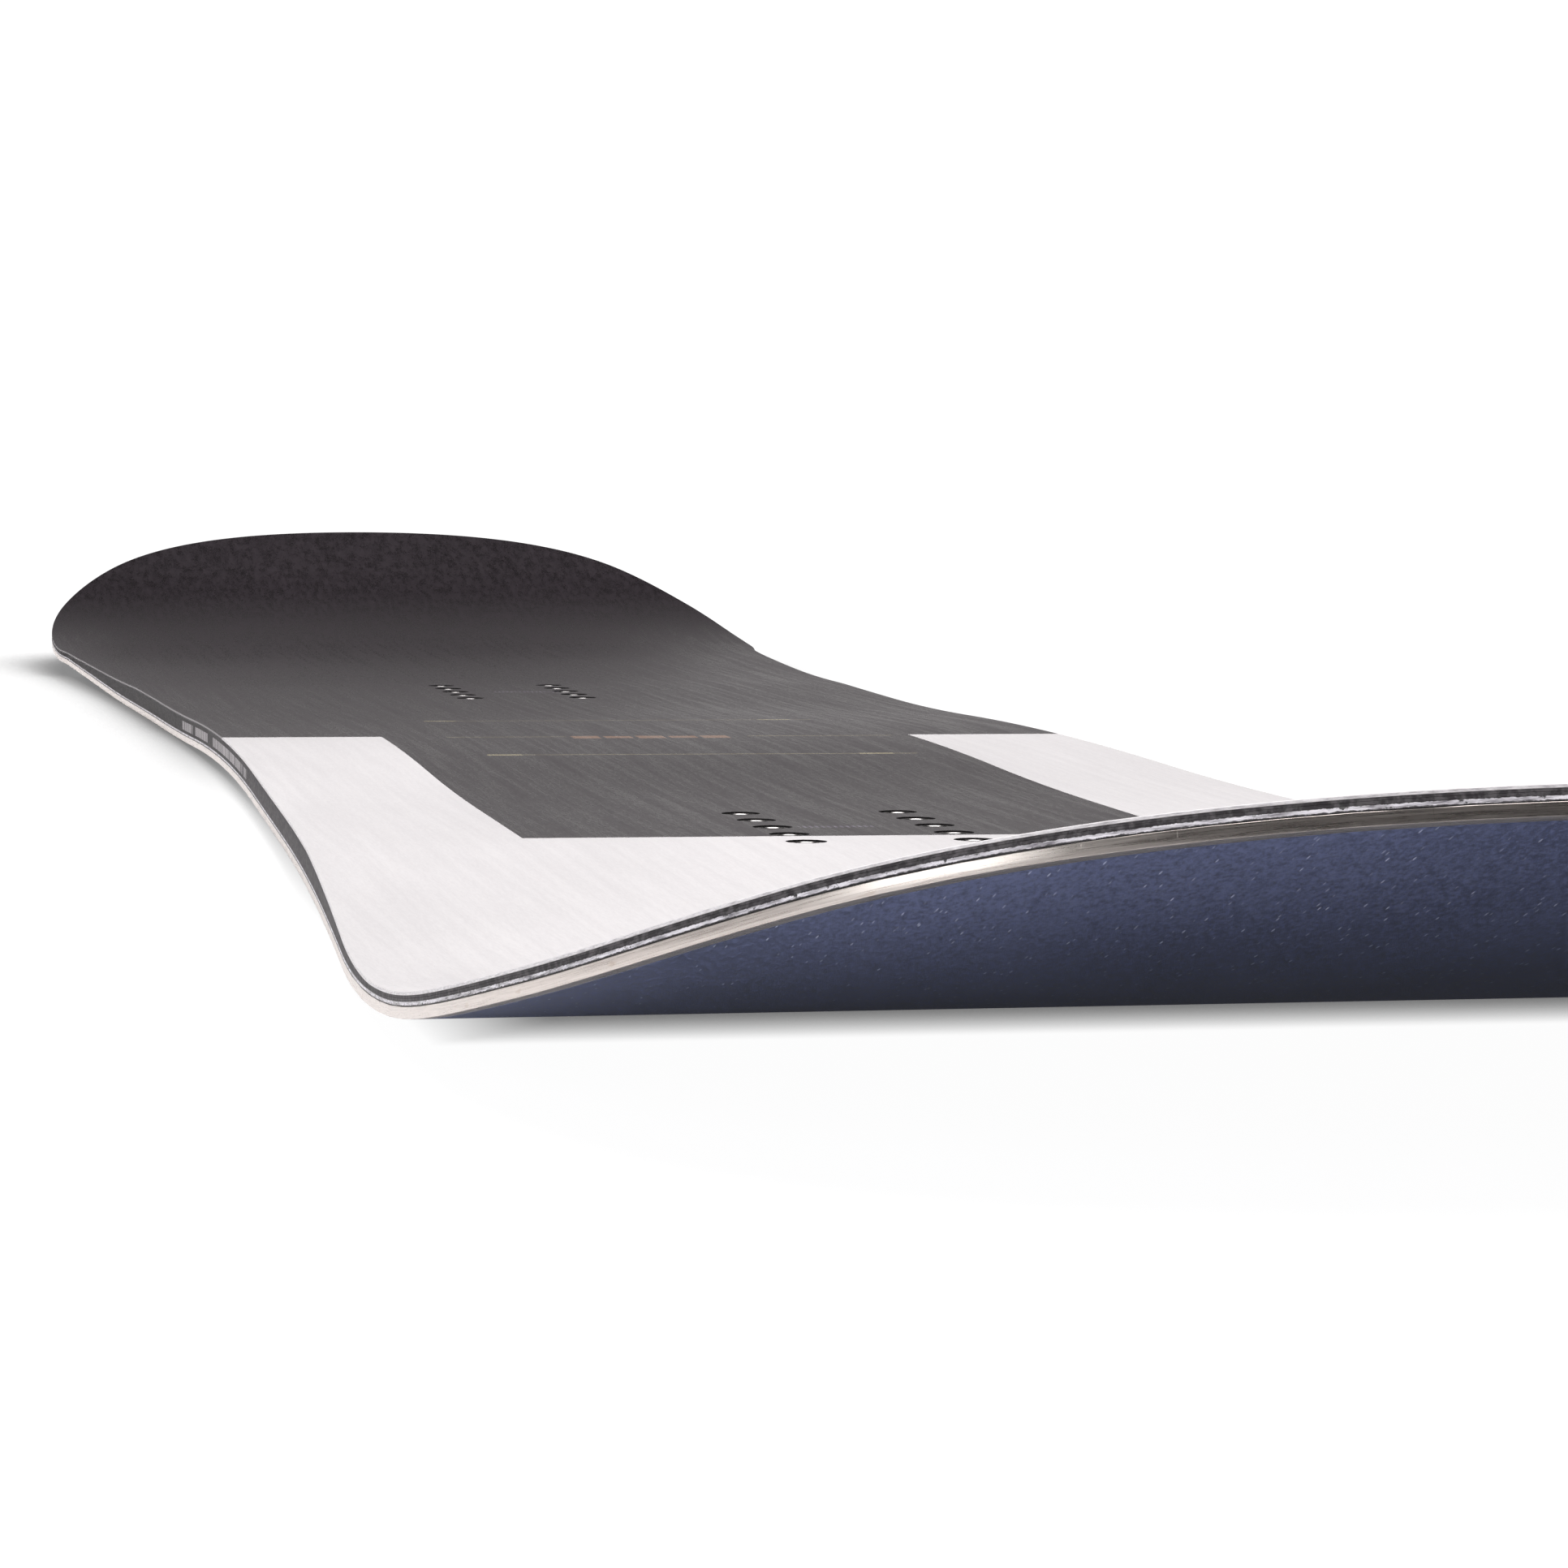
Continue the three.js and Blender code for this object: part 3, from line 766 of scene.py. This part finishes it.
def buildSidewalls():
    wall = darkPlastic("sidewallPlastic", (0.032, 0.030, 0.033), (0.062, 0.059, 0.064), printedAndShaded=True)
    for name, side in (("left", -1), ("right", 1)):
        piece = straightBar(f"sidewall_strip_{name}", sidewall["width"], 1)
        layBar(piece, side, *sidewall["ends"],
               lambda share, s: layers["coreOverEdge"] * (1 - share) + coreHigh(s) * share)
        settle(piece, wall, "sidewall", f"sidewall_{name}")
        smooth(piece)
    rimStep = glassStep["spacer"]
    spans = {"nose": (0, sidewall["ends"][0]), "tail": (sidewall["ends"][1], len(rows) - 1)}
    for name, (first, last) in spans.items():
        piece = laySheet(
            f"tip_fill_{name}", [0.0, innerColumn, rimStep, rimStep + step], 10,
            lambda d, s: layers["coreOverEdge"] if d <= rimStep else layers["coreOverBase"],
            lambda d, s: coreHigh(s), first, last)
        settle(piece, wall, "sidewall", f"tip_spacer_{name}")
        smooth(piece)


def buildFoils():
    finish = rubber()
    for name, side in (("left", -1), ("right", 1)):
        piece = straightBar(f"damping_foil_{name}", foilWidth, 1)
        deep = layers["foilHigh"] - layers["foilLow"]
        layBar(piece, side, 0, len(rows) - 1, lambda share, s: layers["foilLow"] + deep * share)
        settle(piece, finish, "foil", f"rubber_foil_{name}")
        smooth(piece)


buildLaminates()
buildSidewalls()
buildFoils()
print("laminates, sidewalls and foils laid")


# ---- steel edges ----

tiny = 1e-6
steel = {"width": 0.0022, "flangeLow": 0.0013, "flangeHigh": 0.00185, "reach": 0.009, "corner": 0.00008}


def groundSteel():
    material, tree = newMaterial("groundSteel")
    vector = rimPlace(tree)
    ground = useGroup(tree, rimScratches, Vector=vector, Fine=3600.0, Stretch=0.02)
    patches = noise(tree, stretched(tree, vector, 1, 2), 45, 4)
    tone = weigh(tree, ground["Along"], 0.75, patches)
    colour = mixColour(tree, spread(tree, tone, 0.36, 0.62), (0.52, 0.475, 0.445), (0.72, 0.67, 0.635))
    colour = mixColour(tree, calc(tree, "MULTIPLY", ground["Across"], 0.35), colour, (0.34, 0.3, 0.27))
    rust = spread(tree, noise(tree, stretched(tree, vector, 1, 4), 160, 4), 0.62, 0.72, 0, 0.3)
    colour = mixColour(tree, rust, colour, (0.36, 0.25, 0.17))
    rough = spread(tree, tone, 0.3, 0.7, 0.22, 0.36)
    height = calc(tree, "SUBTRACT", ground["Along"], calc(tree, "MULTIPLY", ground["Across"], 0.5))
    finishMaterial(tree, colour, rough, height, 0.35, 0.00005, Metallic=1.0)
    return material


def isOuterCorner(a, b):
    # true for the bar's lower and upper lengthwise edges on the rim
    level = a.z < tiny or a.z > layers["steel"] - tiny
    return abs(a.y - b.y) > 0.5 and a.x < tiny and level


def buildEdges():
    finish = groundSteel()
    for name, side in (("left", -1), ("right", 1)):
        piece = straightBar(f"edge_strip_{name}", steel["width"], layers["steel"])
        for height in (steel["flangeLow"], steel["flangeHigh"]):
            bpy.ops.object.mode_set(mode="EDIT")
            bpy.ops.mesh.select_all(action="SELECT")
            bpy.ops.mesh.bisect(plane_co=(0, 0, height), plane_no=(0, 0, 1))
            bpy.ops.object.mode_set(mode="OBJECT")
        # the flange that lies in the board is drawn out of the bar's inner face
        middle = (steel["flangeLow"] + steel["flangeHigh"]) / 2
        chooseFaces(piece, lambda face: face.normal.x > 0.9 and abs(face.center.z - middle) < 0.0001)
        reach = steel["reach"] - steel["width"]
        bpy.ops.mesh.extrude_region_move(TRANSFORM_OT_translate={"value": (reach, 0, 0)})
        bpy.ops.object.mode_set(mode="OBJECT")
        chooseEdges(piece, isOuterCorner)
        bpy.ops.mesh.bevel(offset=steel["corner"], segments=2, affect="EDGES")
        bpy.ops.object.mode_set(mode="OBJECT")
        layBar(piece, side, 0, len(rows) - 1, lambda height, s: height)
        settle(piece, finish, "edge_steel", f"steel_edge_{name}")
        smooth(piece)


buildEdges()
print("steel edges laid")


# ---- base ----

running = {"inset": 0.0023, "corner": 0.0001, "inner": 0.006}


def sinteredBase():
    # dark blue sintered plastic: fine grain, and short pale scratches along the board
    material, tree = newMaterial("sinteredBase")
    vector = place(tree)
    grain = noise(tree, stretched(tree, vector, 1, 0.35), 1250, 3, 0.75)
    cloud = noise(tree, stretched(tree, vector, 1, 0.5), 14, 3)
    tone = weigh(tree, grain, 0.75, cloud)
    colour = mixColour(tree, spread(tree, tone, 0.4, 0.6), (0.045, 0.057, 0.113), (0.122, 0.147, 0.268))
    drawn = stretched(tree, vector, 1100, 170, 1)
    cells = put(tree, "TexVoronoi", {"Vector": drawn, "Scale": 1.0, "Randomness": 1.0})
    shape = spread(tree, cells.outputs["Distance"], 0.09, 0.18, 1, 0)
    luck = put(tree, "SeparateColor", {0: cells.outputs["Color"]}).outputs
    crowd = spread(tree, noise(tree, vector, 11, 3), 0.4, 0.6, 0.55, 0.12)
    flecks = calc(tree, "MULTIPLY", shape, calc(tree, "GREATER_THAN", luck[0], crowd))
    flecks = calc(tree, "MULTIPLY", flecks, spread(tree, luck[1], 0, 1, 0.1, 0.8))
    colour = mixColour(tree, flecks, colour, (0.5, 0.55, 0.72))
    rough = spread(tree, grain, 0.3, 0.7, 0.3, 0.44)
    finishMaterial(tree, colour, rough, grain, 0.12, 0.00005, Specular_IOR_Level=0.3)
    return material


def buildBase():
    corner = running["corner"]
    insets = [running["inset"], running["inset"] + corner, running["inner"]]
    piece = laySheet(
        "running_base", insets, 14, lambda d, s: corner if d < running["inset"] + corner / 2 else 0,
        lambda d, s: layers["base"])
    settle(piece, sinteredBase(), "base", "base")
    smooth(piece)


buildBase()
print("base laid")


# ---- inserts ----


def turnedSteel():
    material, tree = newMaterial("turnedSteel")
    vector = place(tree)
    rings = noise(tree, stretched(tree, vector, 1, 1, 6), 900, 3)
    colour = mixColour(tree, spread(tree, rings, 0.35, 0.65), (0.2, 0.198, 0.195), (0.38, 0.375, 0.37))
    worn = useGroup(tree, edgeWear, Vector=vector, Patch=900.0)["Mask"]
    colour = mixColour(tree, worn, colour, (0.5, 0.49, 0.48))
    rough = spread(tree, rings, 0.3, 0.7, 0.18, 0.36)
    finishMaterial(tree, colour, rough, rings, 0.2, 0.00004, Metallic=1.0)
    return material


def shadedBoreSteel():
    # the inside of the thread, painted near black as painted shade for the deep, unlit bore
    material, tree = newMaterial("shadedBoreSteel")
    rings = noise(tree, place(tree), 1400, 3)
    colour = mixColour(tree, spread(tree, rings, 0.35, 0.65), (0.012, 0.011, 0.011), (0.05, 0.047, 0.045))
    rough = spread(tree, rings, 0.3, 0.7, 0.45, 0.65)
    finishMaterial(tree, colour, rough, rings, 0.2, 0.00004, Metallic=0.4)
    return material


def drawUp(rise):
    bpy.ops.mesh.extrude_region_move(TRANSFORM_OT_translate={"value": (0, 0, rise)})


def insertBody():
    # flanged barrel with a blind bore, from a cylinder
    width, rise = insert["shoulder"]
    mouth = insert["mouth"]
    clearSelection()
    bpy.ops.mesh.primitive_cylinder_add(
        vertices=insert["sides"], radius=insert["flange"], depth=insert["flangeHigh"] - insert["low"],
        location=(0, 0, (insert["flangeHigh"] + insert["low"]) / 2))
    piece = newest("insertBody")
    bpy.ops.object.transform_apply(location=True)
    chooseFaces(piece, lambda face: face.normal.z > 0.9)
    bpy.ops.mesh.inset(thickness=insert["flange"] - insert["barrel"])
    drawUp(insert["top"] - insert["flangeHigh"])
    bpy.ops.mesh.inset(thickness=width)
    bpy.ops.transform.translate(value=(0, 0, rise))
    bpy.ops.mesh.inset(thickness=insert["barrel"] - insert["root"] - width - mouth)
    bpy.ops.mesh.inset(thickness=mouth)
    bpy.ops.transform.translate(value=(0, 0, -mouth))
    drawUp(insert["floor"] - insert["top"] + mouth - rise)
    bpy.ops.object.mode_set(mode="OBJECT")
    rim = insert["flange"] - 1e-5
    chooseEdges(piece, lambda a, b: max(a.xy.length, b.xy.length) > rim and abs(a.z - b.z) < 1e-5)
    bpy.ops.mesh.bevel(offset=insert["flangeCorner"], segments=2, affect="EDGES")
    bpy.ops.object.mode_set(mode="OBJECT")
    return piece


def insertThread():
    # one ridge of the thread, wound up the bore
    clearSelection()
    bpy.ops.mesh.primitive_circle_add(vertices=3, radius=0.0003, fill_type="NOTHING", location=(0, 0, 0))
    piece = newest("insertThread")
    crest = (insert["thread"], 0, 0)
    sunk, half = insert["root"] + insert["threadSunk"], insert["threadHalf"]
    corners = [crest, (sunk, 0, half), (sunk, 0, -half)]
    for vertex, corner in zip(piece.data.vertices, corners):
        vertex.co = Vector(corner) + Vector((0, 0, insert["floor"] + insert["threadStart"]))
    steps = insert["sides"] // 2
    useModifier(piece, "SCREW", axis="Z", angle=math.tau, screw_offset=insert["pitch"],
                iterations=insert["turns"], steps=steps, render_steps=steps)
    bpy.ops.object.mode_set(mode="EDIT")
    bpy.ops.mesh.select_mode(type="EDGE")
    bpy.ops.mesh.select_all(action="DESELECT")
    bpy.ops.mesh.select_non_manifold()
    bpy.ops.mesh.fill()
    bpy.ops.mesh.select_all(action="SELECT")
    bpy.ops.mesh.normals_make_consistent(inside=False)
    bpy.ops.object.mode_set(mode="OBJECT")
    return piece


def buildInserts():
    finish, inside = turnedSteel(), shadedBoreSteel()
    body, thread = insertBody(), insertThread()
    pick(body)
    thread.select_set(True)
    bpy.ops.object.join()
    smooth(body, 35)
    for name, centre in insertCentres().items():
        piece = body.copy()
        piece.data = body.data.copy()
        piece.name = name.replace("insert", "threaded_insert")
        bpy.context.scene.collection.objects.link(piece)
        turn = Matrix.Rotation(math.radians(37 * (len(name) + round(centre.y * 1000))), 4, "Z")
        piece.data.transform(Matrix.Translation((centre.x, centre.y, 0)) @ turn)
        settle(piece, finish, "insert_steel", name)
        piece.data.materials.append(inside)
        # faces inside the bore take the painted shade
        for face in piece.data.polygons:
            reach = (face.center - Vector((centre.x, centre.y, face.center.z))).length
            if reach < insert["root"] + 0.00006 and face.center.z < insert["top"]:
                face.material_index = 1
    bpy.data.objects.remove(body)


buildInserts()
print("inserts set")


# ---- wood core, which stays as model.glb has it ----


def stripWood(name, pale, deep, shift):
    material, tree = newMaterial(name)
    inputs = {"Vector": place(tree), "Location": (shift, shift * 3, 0), "Scale": (1, 0.05, 1)}
    vector = put(tree, "Mapping", inputs).outputs[0]
    figure = noise(tree, vector, 160, 6, 0.62)
    pores = noise(tree, stretched(tree, vector, 4, 1, 4), 500, 3, 0.7)
    colour = mixColour(tree, spread(tree, figure, 0.32, 0.68), deep, pale)
    colour = mixColour(tree, spread(tree, pores, 0.6, 0.72, 0, 0.45), colour, (0.2, 0.13, 0.07))
    rough = spread(tree, figure, 0.3, 0.7, 0.6, 0.78)
    finishMaterial(tree, colour, rough, pores, 0.3, 0.0001)
    return material


def finishCore():
    poplar = stripWood("poplar", (0.72, 0.58, 0.36), (0.52, 0.38, 0.2), 0.1)
    beech = stripWood("beech", (0.6, 0.41, 0.23), (0.42, 0.26, 0.13), 0.7)
    for name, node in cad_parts.items():
        if name.startswith("core_strip"):
            darker = name[-1] in "13"
            node.data.materials.clear()
            node.data.materials.append(beech if darker else poplar)


finishCore()
print("core finished")


# ---- studio ----

studio = {"floorSize": 60, "floorLevel": -0.0002, "floorGlow": 0.975, "floorMatt": 0.12,
          "floorBounce": 0.05, "contact": 0.0055, "contactShade": 0.14, "tailShade": 0.08,
          "overhead": 7.9, "leftWall": 0.62, "tailGlow": 0.7, "ambient": 0.05, "backdrop": 1.1,
          "roomTint": (1.0, 0.965, 0.965, 1), "white": (1, 1, 1, 1)}


def floorPaint():
    # a pale table that glows a little to the camera, so that its shadows stay light
    material, tree = newMaterial("paleFloor")
    speck = noise(tree, place(tree), 3, 2)
    colour = mixColour(tree, speck, (0.86, 0.86, 0.86), (0.9, 0.9, 0.9))
    matt = put(tree, "BsdfDiffuse", {0: colour})
    split = parts(tree, place(tree))
    # in reflections it is darker ahead of the nose, on the right
    toRight = spread(tree, split[0], -0.05, 0.2, 0, 0.9)
    dimmer = calc(tree, "MULTIPLY", toRight, spread(tree, split[1], -0.75, -0.9))
    dimmed = put(tree, "BsdfDiffuse", {0: mixColour(tree, dimmer, colour, (0.0, 0.0, 0.0))})
    close = put(tree, "AmbientOcclusion", {"Distance": studio["contact"]}, samples=12).outputs["AO"]
    # no contact shade along the left side
    close = calc(tree, "MAXIMUM", close, spread(tree, split[0], -0.145, -0.105, 1, 0))
    full = studio["floorGlow"] / (1 - studio["floorMatt"])
    shine = spread(tree, close, 0.3, 0.95, studio["contactShade"], full)
    # a wider, fainter shade along the raised tail
    around = put(tree, "AmbientOcclusion", {"Distance": studio["tailShade"]}, samples=8).outputs["AO"]
    tailward = spread(tree, split[1], -0.1, 0.25, 0, 0.75)
    shade = calc(tree, "MULTIPLY", spread(tree, around, 1, 0.7), tailward)
    shine = calc(tree, "MULTIPLY", shine, calc(tree, "SUBTRACT", 1.0, shade))
    glow = put(tree, "Emission", {0: studio["white"], 1: shine})
    seen = put(tree, "MixShader", {0: studio["floorMatt"], 1: glow.outputs[0], 2: matt.outputs[0]})
    faint = put(tree, "Emission", {0: studio["white"], 1: studio["floorBounce"]})
    unseen = put(tree, "AddShader", {0: dimmed.outputs[0], 1: faint.outputs[0]})
    ray = put(tree, "LightPath").outputs["Is Camera Ray"]
    both = put(tree, "MixShader", {0: ray, 1: unseen.outputs[0], 2: seen.outputs[0]})
    # clear from beneath, so that the underside can be looked at
    beneath = put(tree, "NewGeometry").outputs["Backfacing"]
    clear = put(tree, "BsdfTransparent")
    whole = put(tree, "MixShader", {0: beneath, 1: both.outputs[0], 2: clear.outputs[0]})
    tree.links.new(whole.outputs[0], put(tree, "OutputMaterial").inputs[0])
    return material


def softbox(name, spot, aim, size, power):
    data = bpy.data.lights.new(name, "AREA")
    data.shape = "RECTANGLE"
    data.size, data.size_y = size
    data.energy = power
    lamp = bpy.data.objects.new(name, data)
    lamp.location = spot
    lamp.rotation_euler = (Vector(aim) - Vector(spot)).to_track_quat("-Z", "Y").to_euler()
    bpy.context.scene.collection.objects.link(lamp)


def makeWorld():
    world = bpy.data.worlds.new("studio")
    bpy.context.scene.world = world
    world.use_nodes = True
    tree = world.node_tree
    tree.nodes.clear()
    way = put(tree, "SeparateXYZ", {0: put(tree, "TexCoord").outputs["Generated"]}).outputs
    # a bright ceiling, a pale wall on the left and a low glow beyond the tail
    ceiling = spread(tree, way[2], 0.88, 0.97, 0, studio["overhead"])
    low = spread(tree, way[2], 0.2, 0.42, 1, 0)
    leftSide = spread(tree, way[0], -0.35, -0.85, 0, studio["leftWall"])
    wide = spread(tree, way[2], 0.5, 0.12, 0, 0.55)
    glow = calc(tree, "ADD", wide, spread(tree, way[2], 0.1, 0.06, 0, 0.45))
    beyond = calc(tree, "MULTIPLY", glow, spread(tree, way[1], 0.3, 0.9, 0, studio["tailGlow"]))
    walls = calc(tree, "MAXIMUM", calc(tree, "MULTIPLY", leftSide, low), beyond)
    strength = calc(tree, "ADD", calc(tree, "ADD", ceiling, walls), studio["ambient"])
    room = put(tree, "Background", {0: studio["roomTint"], 1: strength})
    seen = put(tree, "Background", {0: studio["white"], 1: studio["backdrop"]})
    ray = put(tree, "LightPath").outputs["Is Camera Ray"]
    mixed = put(tree, "MixShader", {0: ray, 1: room.outputs[0], 2: seen.outputs[0]})
    tree.links.new(mixed.outputs[0], put(tree, "OutputWorld").inputs[0])


def makeStudio():
    clearSelection()
    bpy.ops.mesh.primitive_plane_add(size=studio["floorSize"], location=(0, 0, studio["floorLevel"]))
    floor = newest("floor")
    floor.data.materials.append(floorPaint())
    makeWorld()
    softbox("leftBox", (-1.9, -1.4, 0.9), (-0.1, -0.78, 0.05), (1.0, 0.7), 7)
    bpy.context.scene.view_settings.view_transform = "Standard"


makeStudio()
print("studio lit")
